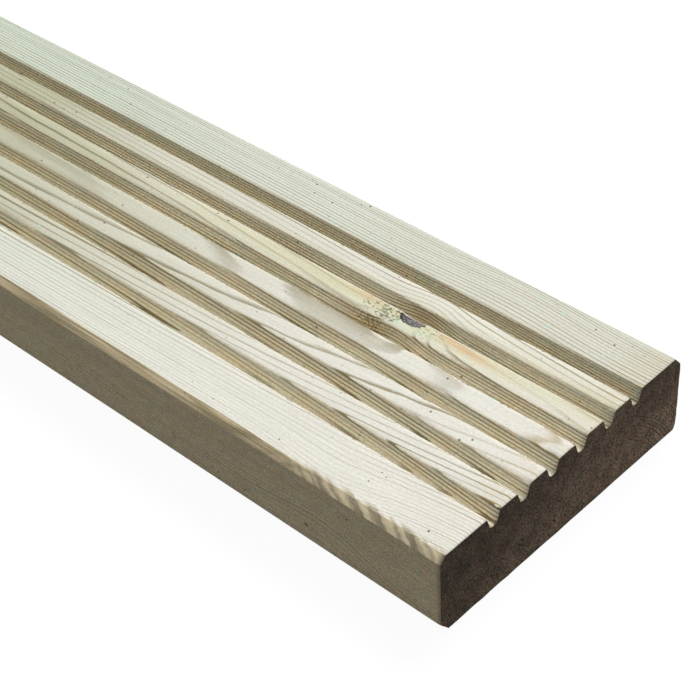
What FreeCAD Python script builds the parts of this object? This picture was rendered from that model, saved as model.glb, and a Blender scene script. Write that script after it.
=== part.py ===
"""Grooved decking board: one length of planed, pressure-treated softwood.

X runs along the board, Y across it and Z up through its thickness. The origin is on the underside, at the
middle of the length and of the width. All sizes are in millimetres.
"""

import FreeCAD, Part
import math
import os

# The sawn and planed size of the board
BOARD_LENGTH = 1800.0
BOARD_WIDTH = 120.0
BOARD_THICKNESS = 33.0

# The grip grooves that run the whole length of the walking face
GROOVE_COUNT = 6
GROOVE_PITCH = 14.2
GROOVE_MOUTH = 5.9
GROOVE_FLOOR = 2.6
GROOVE_DEPTH = 4.8
GROOVE_ROOT_RADIUS = 1.0
RIB_EDGE_RADIUS = 1.0

# The bevels along the long edges, by what each takes from the face or underside and from the side: one on the near
# edge of the face, a wider one on the face's far edge and the underside's near edge, and a tight one on the fourth
NEAR_BEVEL_WIDTH = 2.4
NEAR_BEVEL_HEIGHT = 2.6
WIDE_BEVEL_WIDTH = 3.2
WIDE_BEVEL_HEIGHT = 3.8
TIGHT_BEVEL_WIDTH = 1.2
TIGHT_BEVEL_HEIGHT = 2.0
BEVEL_EDGE_RADIUS = 0.5

# The share of a flat wall that the arcs at its two ends may take up between them
ARC_SHARE_OF_WALL = 0.9


def groove_corners(centre):
    """The four corners of one groove as (y, z, radius), from its near lip down to the floor and up again."""
    floor = BOARD_THICKNESS - GROOVE_DEPTH
    return [
        (centre - GROOVE_MOUTH / 2, BOARD_THICKNESS, RIB_EDGE_RADIUS),
        (centre - GROOVE_FLOOR / 2, floor, GROOVE_ROOT_RADIUS),
        (centre + GROOVE_FLOOR / 2, floor, GROOVE_ROOT_RADIUS),
        (centre + GROOVE_MOUTH / 2, BOARD_THICKNESS, RIB_EDGE_RADIUS),
    ]


def section_corners():
    """The corners of the whole cross-section as (y, z, radius): up the near side, over the face, down the far side."""
    side = BOARD_WIDTH / 2
    corners = [
        (WIDE_BEVEL_WIDTH - side, 0.0, BEVEL_EDGE_RADIUS),
        (-side, WIDE_BEVEL_HEIGHT, BEVEL_EDGE_RADIUS),
        (-side, BOARD_THICKNESS - NEAR_BEVEL_HEIGHT, BEVEL_EDGE_RADIUS),
        (NEAR_BEVEL_WIDTH - side, BOARD_THICKNESS, BEVEL_EDGE_RADIUS),
    ]
    first_centre = -GROOVE_PITCH * (GROOVE_COUNT - 1) / 2
    for index in range(GROOVE_COUNT):
        corners += groove_corners(first_centre + index * GROOVE_PITCH)
    corners += [
        (side - WIDE_BEVEL_WIDTH, BOARD_THICKNESS, BEVEL_EDGE_RADIUS),
        (side, BOARD_THICKNESS - WIDE_BEVEL_HEIGHT, BEVEL_EDGE_RADIUS),
        (side, TIGHT_BEVEL_HEIGHT, BEVEL_EDGE_RADIUS),
        (side - TIGHT_BEVEL_WIDTH, 0.0, BEVEL_EDGE_RADIUS),
    ]
    return corners


def corner_setbacks(walls, turns, radii):
    """How far each corner's arc reaches along its two walls, less where a wall is too short for both its arcs."""
    wanted = [radius * math.tan(turn / 2) for radius, turn in zip(radii, turns)]
    shares = []
    for index, wall in enumerate(walls):
        needed = wanted[index] + wanted[(index + 1) % len(walls)]
        room = ARC_SHARE_OF_WALL * wall.Length
        shares.append(min(1.0, room / needed) if needed > 0 else 1.0)
    return [wanted[index] * min(shares[index - 1], shares[index]) for index in range(len(walls))]


def corner_arc(corner, arriving, leaving, turn, setback):
    """The arc that rounds one corner, tangent to both its walls at the given distance from it."""
    inward = (leaving - arriving).normalize()
    radius = setback / math.tan(turn / 2)
    crown = corner + inward * (radius / math.cos(turn / 2) - radius)
    return Part.Arc(corner - arriving * setback, crown, corner + leaving * setback)


def rounded_outline(corners):
    """A closed wire in the YZ plane along straight walls, with every corner rounded to its own radius."""
    count = len(corners)
    points = [FreeCAD.Vector(0.0, y, z) for y, z, radius in corners]
    walls = [points[(index + 1) % count] - points[index] for index in range(count)]
    directions = [FreeCAD.Vector(wall).normalize() for wall in walls]
    turns = [directions[index - 1].getAngle(directions[index]) for index in range(count)]
    setbacks = corner_setbacks(walls, turns, [radius for y, z, radius in corners])
    edges = []
    for index in range(count):
        following = (index + 1) % count
        arriving, leaving = directions[index - 1], directions[index]
        edges.append(corner_arc(points[index], arriving, leaving, turns[index], setbacks[index]).toShape())
        start = points[index] + leaving * setbacks[index]
        end = points[following] - leaving * setbacks[following]
        edges.append(Part.LineSegment(start, end).toShape())
    return Part.Wire(edges)


def deck_board():
    """The section carried along the whole length, sawn square at both ends."""
    section = Part.Face(rounded_outline(section_corners()))
    section.translate(FreeCAD.Vector(-BOARD_LENGTH / 2, 0.0, 0.0))
    return section.extrude(FreeCAD.Vector(BOARD_LENGTH, 0.0, 0.0))


def main():
    os.makedirs("parts", exist_ok=True)
    board = deck_board()
    board.exportStep("parts/deck_board.step")
    size = board.BoundBox
    print(f"deck_board {size.XLength:.1f} x {size.YLength:.1f} x {size.ZLength:.1f} mm, valid {board.isValid()}, "
          f"volume {board.Volume / 1000:.1f} cm3")


main()
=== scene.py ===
"""Looks of a grooved decking board: one length of planed, pressure-treated softwood on a pale floor.

The board's section is carried along its length as one closed mesh. Every point of that mesh knows its place
in the tree: how many growth rings lie between it and the pith, how near a knot is and how much resin has
run there. Both finishes are drawn from those, so one ring shows as a line on the face, on a groove's wall
and on the sawn end.
"""

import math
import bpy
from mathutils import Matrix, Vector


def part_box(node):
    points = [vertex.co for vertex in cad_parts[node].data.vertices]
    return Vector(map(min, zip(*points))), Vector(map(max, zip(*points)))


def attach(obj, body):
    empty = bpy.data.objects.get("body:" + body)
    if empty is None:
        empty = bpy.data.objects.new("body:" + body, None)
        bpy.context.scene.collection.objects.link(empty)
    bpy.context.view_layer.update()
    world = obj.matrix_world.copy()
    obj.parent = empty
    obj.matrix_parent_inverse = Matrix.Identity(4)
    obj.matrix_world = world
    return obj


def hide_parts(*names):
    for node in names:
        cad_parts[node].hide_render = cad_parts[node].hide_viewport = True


bl_info = {
    "name": "Grooved decking board",
    "version": (1, 0, 0),
    "blender": (4, 5, 0),
    "location": "3D View > Sidebar > Decking",
    "description": "Builds a grooved softwood decking board with its growth rings, knots and sawn ends",
    "category": "Object",
}

from collections import namedtuple

import bpy
import numpy as np
from mathutils import Quaternion, Vector

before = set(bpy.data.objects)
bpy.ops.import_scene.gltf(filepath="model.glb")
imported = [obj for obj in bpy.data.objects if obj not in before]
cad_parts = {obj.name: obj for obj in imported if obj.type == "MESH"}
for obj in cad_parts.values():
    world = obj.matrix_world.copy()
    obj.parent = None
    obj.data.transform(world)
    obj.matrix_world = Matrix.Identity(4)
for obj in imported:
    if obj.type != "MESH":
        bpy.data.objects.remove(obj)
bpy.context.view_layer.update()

MM = 0.001
NODE = "deck_board"
PIECE = "deck_board_timber"
BAKE_MAP = "OFBake"
SEED = 7

LOW, HIGH = (np.array(corner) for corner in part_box(NODE))
THICKNESS = HIGH[2] - LOW[2]

SKIN, SAWN_END = 0, 1
WHITE = (1.0, 1.0, 1.0)

# How bright the floor's even white is, and how near to the camera a thing can still be seen
FLOOR_WHITE = 1.03
NEAREST_SEEN = 10 * MM

# The weather comes and goes once in this length along the board
WEATHER_LENGTH = 0.7
WEATHER_TURN = math.tau / WEATHER_LENGTH

# The mesh: points on each rounded corner, trial places along the board, how far the closer sections reach
# about a knot, in its radii and beyond them, and about a sawn end, and how much closer they are there
ARC_POINTS = 4
TRIAL_PLACES = 20001
KNOT_RADII = 1.5
KNOT_ROOM = 5 * MM
END_ROOM = 4 * MM
END_CLOSENESS = 1.5

# The broken edge of a sawn end: how far along the board the edge is worn and drawn in, the latter's depth
# as a share of the edge break, and the ripples round the outline that make it ragged
BREAK_REACH = 0.8 * MM
DRAWN_REACH = 0.3 * MM
DRAWN_SHARE = 0.6
RAGGED_LENGTH = 3 * MM
RAGGED_LEVEL, RAGGED_SWING, RAGGED_LIMIT = 0.6, 0.12, 2.0

# The ripples that chip the lips and the level they chip at, how sharply the outline turns at a lip, the
# ripples of the saw's marks, and the hollow of a knot from its rim to its floor, in the knot's radii
CHIP_LENGTH, CHIP_WIDTH, CHIP_LEVEL = 14 * MM, 60 * MM, 1.1
LIP_TURN = (math.radians(15), math.radians(24))
SAW_LENGTH, SAW_WIDTH = 9 * MM, 4 * MM
SAW_LEVEL, SAW_SWING, SAW_LIMIT = 0.5, 0.2, 2.4
HOLLOW_RIM = (1.1, 0.7)

# Kinds of surface, by where each starts and is full: the walking face by how far it looks up and its height
# from the top, the groove walls by how far they look up, the bevels by how far they look up and aside, and
# the grooves by their room from a side. A lip looks aside by more than its lean and lies in the top share
# of its radius. Walls take a share of the face colours, which are bleached and painted paler for the glare
# on the lit top, and the ribs' near lips a share as painted shade where they face away from the light
FACE_LEAN = (0.78, 0.985)
FACE_HEIGHT = (-1.5 * MM, -0.5 * MM)
WALL_LEAN = (0.1, 0.3)
BEVEL_LEAN = (0.25, 0.45)
GROOVES_FROM_SIDE = (12 * MM, 16 * MM)
LIP_LEAN = 0.05
LIP_SHARE = 0.7
WALL_BLEACH_AND_GLARE = 0.48
SHADED_NEAR_LIP_SHARE = 0.72

# The flat map: how much of its height the unrolled skin takes, and the places and sizes of the two ends
MAP_SKIN = 0.88
MAP_END_LEFTS = (0.02, 0.52)
MAP_END_WIDTH = 0.46
MAP_END_BOTTOM = 0.89
MAP_END_HEIGHT = 0.10

# The pith swings sideways in fewer turns than it swings up and down, by this share
SIDE_SWINGS = 0.21

# The rings are only grazed within about this angle of straight above the pith
GRAZE_ANGLE = 0.1

# A knot is longer along the grain than across it, and beyond this many radii its nearness no longer counts
KNOT_STRETCH = 1.7
FAR_FROM_KNOTS = 9.0

# A patch of timber by a knot, in radii of that knot: its middle along the grain, half its length, its
# middle aside, half its width, and how far it runs aside for each step along the grain
Patch = namedtuple("Patch", "past half_length aside half_width slope", defaults=(0.0,))
RESIN_STREAKS = (Patch(6.6, 5.4, 0.29, 0.5, 0.126), Patch(-6.5, 3.0, 0.1, 0.35))
SOAKED_BAND = Patch(0.0, 45.0, 0.0, 2.2)
BROAD_WOOD = Patch(-9.0, 13.0, 5.0, 2.2)
CURLY_WOOD = Patch(-4.0, 2.4, 2.8, 1.0)

# A branch that grew out of the pith: where it meets the level of the walking face, along and across the
# board, its radius there, how far it leans along the board as it grows outwards, how far it lifts the rings
# about it, how far that reaches along and aside, and how much resin has bled from it
Knot = namedtuple("Knot", "along across radius lean lift reach_along reach_aside resin")
KNOTS = (
    Knot(821 * MM, 17.4 * MM, 3.1 * MM, 0.15, 3.0 * MM, 12 * MM, 13 * MM, 1.0),
    Knot(338 * MM, -29.0 * MM, 4.6 * MM, 0.20, 2.6 * MM, 24 * MM, 14 * MM, 0.5),
    Knot(296 * MM, 37.0 * MM, 3.4 * MM, 0.22, 2.0 * MM, 19 * MM, 12 * MM, 0.8),
    Knot(34 * MM, 2.0 * MM, 5.2 * MM, 0.18, 2.8 * MM, 26 * MM, 14 * MM, 0.4),
    Knot(-283 * MM, -15.0 * MM, 3.1 * MM, 0.20, 2.0 * MM, 18 * MM, 11 * MM, 0.9),
    Knot(-327 * MM, 24.0 * MM, 4.9 * MM, 0.17, 2.6 * MM, 25 * MM, 14 * MM, 0.6),
    Knot(-716 * MM, -41.0 * MM, 4.0 * MM, 0.21, 2.3 * MM, 22 * MM, 13 * MM, 0.7),
)

# A place where the rings bulge over a branch that doesn't reach the surface: where along the board and
# across its face, by how much, and how far that reaches along and aside
Swell = namedtuple("Swell", "along across lift reach_along reach_aside")
SWELLS = (
    Swell(853 * MM, -70.0 * MM, 5.0 * MM, 27 * MM, 15 * MM),
    Swell(842 * MM, 58.0 * MM, 2.0 * MM, 30 * MM, 18 * MM),
    Swell(880 * MM, 0.0 * MM, 0.46 * MM, 42 * MM, 14 * MM),
    Swell(672 * MM, 0.0 * MM, 0.3 * MM, 40 * MM, 14 * MM),
    Swell(560 * MM, -52.0 * MM, 1.8 * MM, 36 * MM, 15 * MM),
    Swell(180 * MM, 55.0 * MM, 2.2 * MM, 30 * MM, 16 * MM),
    Swell(-130 * MM, 40.0 * MM, 1.6 * MM, 40 * MM, 14 * MM),
    Swell(-520 * MM, -58.0 * MM, 2.4 * MM, 28 * MM, 15 * MM),
)

# A drying crack in the seen end: its middle across and up the end, its slope and its half length
Check = namedtuple("Check", "across up slope half_length")
CHECKS = (
    Check(-22.0 * MM, 8.8 * MM, math.radians(-45), 6.6 * MM),
    Check(-3.3 * MM, 13.8 * MM, math.radians(-48), 2.9 * MM),
    Check(-5.8 * MM, 6.9 * MM, math.radians(-45), 2.2 * MM),
    Check(-8.2 * MM, 2.2 * MM, math.radians(-62), 1.6 * MM),
)

# A dark spot on the near side: its middle along and up the side, half its length and height, its strength
Blot = namedtuple("Blot", "along up half_length half_height strength")
BLOTS = (
    Blot(843.5 * MM, 10.0 * MM, 1.2 * MM, 0.9 * MM, 0.8),
    Blot(782.0 * MM, 10.5 * MM, 1.0 * MM, 3.0 * MM, 0.3),
)


def size(name, description, default):
    """A length that a user may change, in metres."""
    return bpy.props.FloatProperty(
        name=name, description=description, default=default, min=0.0, precision=5, unit="LENGTH")


def share(name, description, default, most=1.0):
    """A plain number from nothing to its most."""
    return bpy.props.FloatProperty(name=name, description=description, default=default, min=0.0, max=most)


def colour(name, description, default):
    """A linear colour."""
    return bpy.props.FloatVectorProperty(
        name=name, description=description, default=default, size=3, min=0.0, max=1.0, subtype="COLOR")


class BoardSection(bpy.types.PropertyGroup):
    """Sizes of the planed section and of its mesh."""

    groove_count: bpy.props.IntProperty(
        name="Grooves", description="Grip grooves in the walking face", default=6, min=1)
    groove_pitch: size("Groove pitch", "From the middle of one groove to the next", 14.2 * MM)
    groove_mouth: size("Groove mouth", "Width of a groove at the walking face", 5.9 * MM)
    groove_floor: size("Groove floor", "Width of a groove at its bottom", 2.6 * MM)
    groove_depth: size("Groove depth", "Depth of a groove below the walking face", 4.8 * MM)
    root_radius: size("Root radius", "Rounding at the bottom of a groove", 1.0 * MM)
    lip_radius: size("Lip radius", "Rounding of a rib's two edges", 1.0 * MM)
    near_width: size("Near bevel width", "What the near bevel takes from the walking face", 2.4 * MM)
    near_height: size("Near bevel height", "What the near bevel takes from the side", 2.6 * MM)
    wide_width: size(
        "Wide bevel width", "What the far bevel takes from the face, and the near one from below", 3.2 * MM)
    wide_height: size("Wide bevel height", "What the wide bevels take from the sides", 3.8 * MM)
    tight_width: size("Tight bevel width", "What the far bevel takes from the underside", 1.2 * MM)
    tight_height: size("Tight bevel height", "What the tight bevel takes from the side", 2.0 * MM)
    bevel_radius: size("Bevel edge radius", "Rounding of the bevels' own edges", 0.5 * MM)
    face_gap: size("Face spacing", "Most room between mesh points across the walking face", 2.0 * MM)
    under_gap: size("Underside spacing", "Most room between mesh points across the underside", 4.0 * MM)
    station_gap: size("Station spacing", "Room between sections along plain timber", 6.0 * MM)
    close_gap: size("Close spacing", "Room between sections through a knot and at a sawn end", 1.2 * MM)
    end_rows: bpy.props.IntProperty(
        name="End rows", description="Rows of mesh points up a sawn end", default=12, min=2)
    edge_break: size("Edge break", "How far the saw has broken the edges of an end", 0.35 * MM)
    chip_depth: size("Chip depth", "Depth of the chips along the ribs' edges", 0.35 * MM)
    knot_hollow: size("Knot hollow", "How far a dried knot has shrunk below the face", 0.5 * MM)
    saw_depth: size("Saw marks", "Depth of the saw's marks in an end", 0.25 * MM)


class BoardGrain(bpy.types.PropertyGroup):
    """How the board was cut from its tree, and the colours of its timber."""

    pith_ring: size("First ring", "Width of a year's growth at the pith", 2.56 * MM)
    ring_taper: share("Ring taper", "How much narrower growth is for each step from the pith", 0.022)
    pith_side: bpy.props.FloatProperty(
        name="Pith side", description="How far the pith lies to the far side of the middle",
        default=-1.8 * MM, precision=5, unit="LENGTH")
    pith_depth: size("Pith depth", "How far the pith lies below the underside at the seen end", 31.0 * MM)
    pith_slope: share("Pith slope", "How far the pith rises for each step from the seen end", 0.0135)
    wander_side: size("Sideways wander", "How far the pith swings from side to side", 1.5 * MM)
    wander_depth: size("Depth wander", "How far the pith swings up and down", 0.25 * MM)
    wander_length: size("Wander length", "Length of one swing of the pith", 260 * MM)
    wander_start: size("Wander start", "How far from the seen end the depth is in mid swing", 110 * MM)
    bend_start: size("Bend start", "How far from the seen end the pith starts to bend", 85 * MM)
    bend_softness: size("Bend softness", "Over what length the bend comes in", 12 * MM)
    bend_side: share("Bend sideways", "How far the pith goes across for each step past the bend", 0.035)
    bend_dip: share("Bend dip", "How far the pith goes down for each step past the bend", 0.021)
    face_early: colour("Face earlywood", "Pale spring growth on the walking face", (0.835, 0.815, 0.725))
    face_late: colour("Face latewood", "Dark summer growth on the walking face", (0.36, 0.31, 0.20))
    raw_early: colour("Raw earlywood", "Pale spring growth on groove walls and sides", (0.725, 0.65, 0.472))
    raw_late: colour("Raw latewood", "Dark summer growth on groove walls and sides", (0.17, 0.13, 0.05))
    end_early: colour("End earlywood", "Spring growth on a sawn end", (0.24, 0.175, 0.125))
    end_late: colour("End latewood", "Summer growth on a sawn end", (0.13, 0.095, 0.068))
    worn_ribs: colour("Worn ribs", "Tint of weathered ribs and grooves", (0.63, 0.64, 0.51))
    worn_margins: colour("Worn margins", "Tint of weathered plain margins", (0.87, 0.93, 0.90))
    preservative: colour("Preservative", "Tint of the treatment on the far margin", (0.89, 0.90, 0.86))
    faded: colour("Faded preservative", "That tint where the weather has been at it", (0.915, 0.955, 0.935))
    halo: colour("Knot halo", "Pale green wood about a knot", (0.66, 0.79, 0.58))
    speck: colour("Knot specks", "Dark green specks beside a knot", (0.10, 0.10, 0.04))
    crystal: colour("Crystals", "Specks of dried preservative", (0.42, 0.82, 0.82))
    resin: colour("Resin", "Resin that has bled from a knot", (0.72, 0.43, 0.20))
    soaked: colour("Resin tint", "Tint of the timber that a knot's resin has soaked", (0.885, 0.87, 0.655))
    knot_dark: colour("Knot", "Dark heart of a dead knot", (0.072, 0.055, 0.052))
    knot_pale: colour("Knot flecks", "Pale flecks in a dead knot", (0.28, 0.255, 0.255))
    torn: colour("Torn grain", "Reddish flecks where the ribs' far edges have torn", (0.13, 0.07, 0.04))
    bark: colour("Bark", "Rim of bark about a knot, pits and cracks", (0.035, 0.028, 0.022))


class StudioStage(bpy.types.PropertyGroup):
    """The floor, the light and the camera."""

    key_light: share("Key light", "Strength of the soft light above the board", 2.7, 10.0)
    key_angle: bpy.props.FloatProperty(
        name="Key softness", description="How wide the soft light looks from the board",
        default=math.radians(24), subtype="ANGLE")
    key_from: bpy.props.FloatVectorProperty(
        name="Key from", description="Where the soft light stands", default=(-0.15, 0.64, 1.0),
        subtype="DIRECTION")
    fill_light: share("Fill light", "Strength of the even light from all round", 0.25, 10.0)
    floor_pale: share("Floor", "How pale the floor looks", 0.97)
    floor_bounce: share("Floor bounce", "How much light the floor throws back at the board", 0.22)
    floor_glow: share("Floor glow", "Share of the floor's look that no shadow darkens", 0.92)
    floor_half: size("Floor size", "Half the width of the floor", 20.0)
    lens: bpy.props.FloatProperty(name="Lens", description="Focal length in millimetres", default=93.57)
    eye: bpy.props.FloatVectorProperty(
        name="Eye", description="Where the camera stands", default=(1.14288, -0.33031, 0.42279),
        precision=5, subtype="TRANSLATION")
    aim: bpy.props.FloatVectorProperty(
        name="Aim", description="Where on the walking face the camera looks",
        default=(0.81538, -0.00809, 0.033), precision=5, subtype="TRANSLATION")
    roll: bpy.props.FloatProperty(
        name="Roll", description="Turn of the camera about its own line of sight",
        default=math.radians(-3.58), subtype="ANGLE")


def smoothstep(low, high, values):
    """Rises from 0 at low to 1 at high along three s squared less two s cubed."""
    s = np.clip((values - low) / (high - low), 0.0, 1.0)
    return s * s * (3.0 - 2.0 * s)


def ripples(rng, along, aside, length, width, waves=20):
    """Uneven ripples with a spread of about 1: a sum of sine waves whose directions and phases are drawn at
    random, with a typical length along the board and width across it."""
    total = np.zeros(np.broadcast(along, aside).shape)
    drawn = rng.normal(size=waves), rng.normal(size=waves), rng.uniform(size=waves)
    for turn_along, turn_aside, phase in zip(*drawn):
        total += np.sin(math.tau * (along * turn_along / length + aside * turn_aside / width + phase))
    return total * math.sqrt(2.0 / waves)


def rounded_corners(corners, radii):
    """Each inner corner of a line as points on the arc tangent to both its walls, an array of corner by
    point by (y, z).

    The arc's middle lies one radius square off the first wall, from where the arc leaves it. The spoke from
    there to the wall then turns evenly through the corner's own angle.
    """
    ahead = np.diff(corners, axis=0)
    ahead /= np.linalg.norm(ahead, axis=1, keepdims=True)
    first, second = ahead[:-1], ahead[1:]
    turn = np.arctan2(first[:, 0] * second[:, 1] - first[:, 1] * second[:, 0], (first * second).sum(axis=1))
    setback = radii * np.tan(np.abs(turn) / 2)
    inward = np.sign(turn)[:, None] * np.stack([-first[:, 1], first[:, 0]], axis=1)
    middle = corners[1:-1] - first * setback[:, None] + inward * radii[:, None]
    spoke = -inward * radii[:, None]
    angle = turn[:, None] * np.linspace(0.0, 1.0, ARC_POINTS)
    y = middle[:, :1] + spoke[:, :1] * np.cos(angle) - spoke[:, 1:] * np.sin(angle)
    z = middle[:, 1:] + spoke[:, :1] * np.sin(angle) + spoke[:, 1:] * np.cos(angle)
    return np.stack([y, z], axis=-1)


def filled_run(points, gap):
    """The line through the points, with more points spread evenly along stretches longer than the gap."""
    steps = np.diff(points, axis=0)
    pieces = np.maximum(1, np.ceil(np.linalg.norm(steps, axis=1) / gap)).astype(int)
    stretch = np.repeat(np.arange(len(pieces)), pieces)
    done = (np.arange(len(stretch)) - np.repeat(np.cumsum(pieces) - pieces, pieces)) / pieces[stretch]
    return np.vstack([points[stretch] + done[:, None] * steps[stretch], points[-1:]])


def face_run(section):
    """The walking face as (y, z) from the near side to the far one: a bevel, the grooves, a bevel.

    A groove has four corners, at its lips and at both ends of its floor. The grooves stand a pitch apart.
    """
    count = section.groove_count
    middles = (np.arange(count) - (count - 1) / 2) * section.groove_pitch
    mouth, floor = section.groove_mouth, section.groove_floor
    across = np.array([-mouth, -floor, floor, mouth]) / 2
    heights = HIGH[2] - np.array([0.0, section.groove_depth, section.groove_depth, 0.0])
    grooves = np.stack([(middles[:, None] + across).ravel(), np.tile(heights, count)], axis=1)
    near = [(LOW[1], HIGH[2] - section.near_height), (LOW[1] + section.near_width, HIGH[2])]
    far = [(HIGH[1] - section.wide_width, HIGH[2]), (HIGH[1], HIGH[2] - section.wide_height)]
    corners = np.vstack([(LOW[1], LOW[2]), near, grooves, far, (HIGH[1], LOW[2])])
    small = [section.lip_radius, section.root_radius, section.root_radius, section.lip_radius]
    bevel = [section.bevel_radius] * 2
    arcs = rounded_corners(corners, np.array([*bevel, *small * count, *bevel]))
    return filled_run(arcs.reshape(-1, 2), section.face_gap)


def underside_run(section):
    """The underside as (y, z) from the near side to the far one, between its two bevels."""
    near = [(LOW[1], LOW[2] + section.wide_height), (LOW[1] + section.wide_width, LOW[2])]
    far = [(HIGH[1] - section.tight_width, LOW[2]), (HIGH[1], LOW[2] + section.tight_height)]
    corners = np.vstack([(LOW[1], HIGH[2]), near, far, (HIGH[1], HIGH[2])])
    arcs = rounded_corners(corners, np.full(4, section.bevel_radius))
    return filled_run(arcs.reshape(-1, 2), section.under_gap)


def stations(section):
    """Where along the board a section is laid: a count of sections per metre, raised about every knot and at
    both ends, is summed along the length, and the places are where that sum passes whole steps."""
    x = np.linspace(LOW[0], HIGH[0], TRIAL_PLACES)
    plain, close = 1.0 / section.station_gap, 1.0 / section.close_gap
    reaches = ((x - knot.along) / (KNOT_RADII * knot.radius + KNOT_ROOM) for knot in KNOTS)
    nearness = sum(np.exp(-reach ** 2) for reach in reaches)
    ends = np.exp(-(x - LOW[0]) / END_ROOM) + np.exp(-(HIGH[0] - x) / END_ROOM)
    density = plain + (close - plain) * np.minimum(1.0, nearness) + END_CLOSENESS * close * ends
    passed = np.concatenate([[0.0], np.cumsum((density[1:] + density[:-1]) / 2 * np.diff(x))])
    return np.interp(np.linspace(0.0, passed[-1], math.ceil(passed[-1]) + 1), passed, x)


def pith_line(x, grain):
    """The pith's place across and its depth below the underside.

    It sinks evenly towards the seen end and swings slowly, each along a sine. Past the bend it goes aside
    and down in proportion to a soft ramp, the logarithm of one plus an exponential.
    """
    turn = math.tau / grain.wander_length
    bend = grain.bend_softness * np.logaddexp(0.0, (x - HIGH[0] + grain.bend_start) / grain.bend_softness)
    across = (grain.pith_side + grain.bend_side * bend
              + grain.wander_side * np.sin(SIDE_SWINGS * turn * (x - HIGH[0])))
    below = (grain.pith_depth + grain.pith_slope * (x - HIGH[0]) + grain.bend_dip * bend
             + grain.wander_depth * np.sin(turn * (x - HIGH[0] + grain.wander_start)))
    return across, below


def bell(along, aside):
    """A bell curve in two directions, 1 at its middle."""
    return np.exp(-along ** 2 - aside ** 2)


def spread(patch, along, aside):
    """How much of a patch by a knot reaches a place, as a bell curve, with both in radii of the knot."""
    return bell((along - patch.past) / patch.half_length,
                (aside + patch.slope * along - patch.aside) / patch.half_width)


def from_pith(branch, grain):
    """The distance and the angle from the pith at which a branch meets the level of the walking face."""
    across, below = pith_line(branch.along, grain)
    aside, above = branch.across - across, THICKNESS + below
    return math.hypot(aside, above), math.atan2(aside, above)


def ring_count(radius, grain):
    """How many rings lie within a distance from the pith, where each is narrower than the last: the sum of
    one over the ring width, which falls evenly with the distance, is a logarithm."""
    return -np.log1p(-grain.ring_taper * radius / grain.pith_ring) / grain.ring_taper


def tree_fields(x, y, z, grain):
    """What each point has of its tree: the growth ring, how far the cut only grazes that ring, the nearness
    to a knot and to a swelling, which end of the knot it lies at, curly wood, broad summer wood, resin and
    what resin soaked.

    The ring is counted from the distance to the pith. About a branch the rings are lifted outwards by a
    bell curve along and aside of it. A knot's nearness is the distance from the branch's own line over its
    radius, which grows with the distance from the pith. The rest are bell curves: resin lies in two streaks
    along the grain, one past each end of the knot, and soaks a long band through it. The summer wood is
    broad, and a patch of it curly, on the side of the knot towards the pith.
    """
    across, below = pith_line(x, grain)
    radius, angle = np.hypot(y - across, z + below), np.arctan2(y - across, z + below)
    rings, nearest = radius.copy(), np.full_like(radius, FAR_FROM_KNOTS)
    knot_end, resin, soak, broad, curl, swollen = (np.zeros_like(radius) for field in range(6))
    for swell in SWELLS:
        swell_angle = from_pith(swell, grain)[1]
        aside = radius * (angle - swell_angle)
        rings -= swell.lift * bell((x - swell.along) / swell.reach_along, aside / swell.reach_aside)
        wide = bell((x - swell.along) / (2 * swell.reach_along), aside / swell.reach_aside)
        swollen = np.maximum(swollen, wide)
    for knot in KNOTS:
        face_radius, face_angle = from_pith(knot, grain)
        along = x - knot.along - knot.lean * (radius - face_radius)
        aside = radius * (angle - face_angle)
        rings -= knot.lift * bell(along / knot.reach_along, aside / knot.reach_aside)
        width = knot.radius * radius / face_radius
        along, aside = along / width, aside / width
        nearness = np.hypot(along / KNOT_STRETCH, aside)
        knot_end = np.where(nearness < nearest, along, knot_end)
        nearest = np.minimum(nearest, nearness)
        for streak in RESIN_STREAKS:
            resin = np.maximum(resin, knot.resin * spread(streak, along, aside))
        soak = np.maximum(soak, knot.resin * spread(SOAKED_BAND, along, aside))
        inward = -aside * np.sign(face_angle)
        broad = np.maximum(broad, spread(BROAD_WOOD, along, inward))
        curl = np.maximum(curl, spread(CURLY_WOOD, along, inward))
    return {"ring": ring_count(rings, grain), "graze": bell(angle / GRAZE_ANGLE, 0.0), "knot": nearest,
            "knot_end": knot_end, "resin": resin, "soak": soak, "broad": broad, "curl": curl,
            "swollen": swollen}


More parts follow.
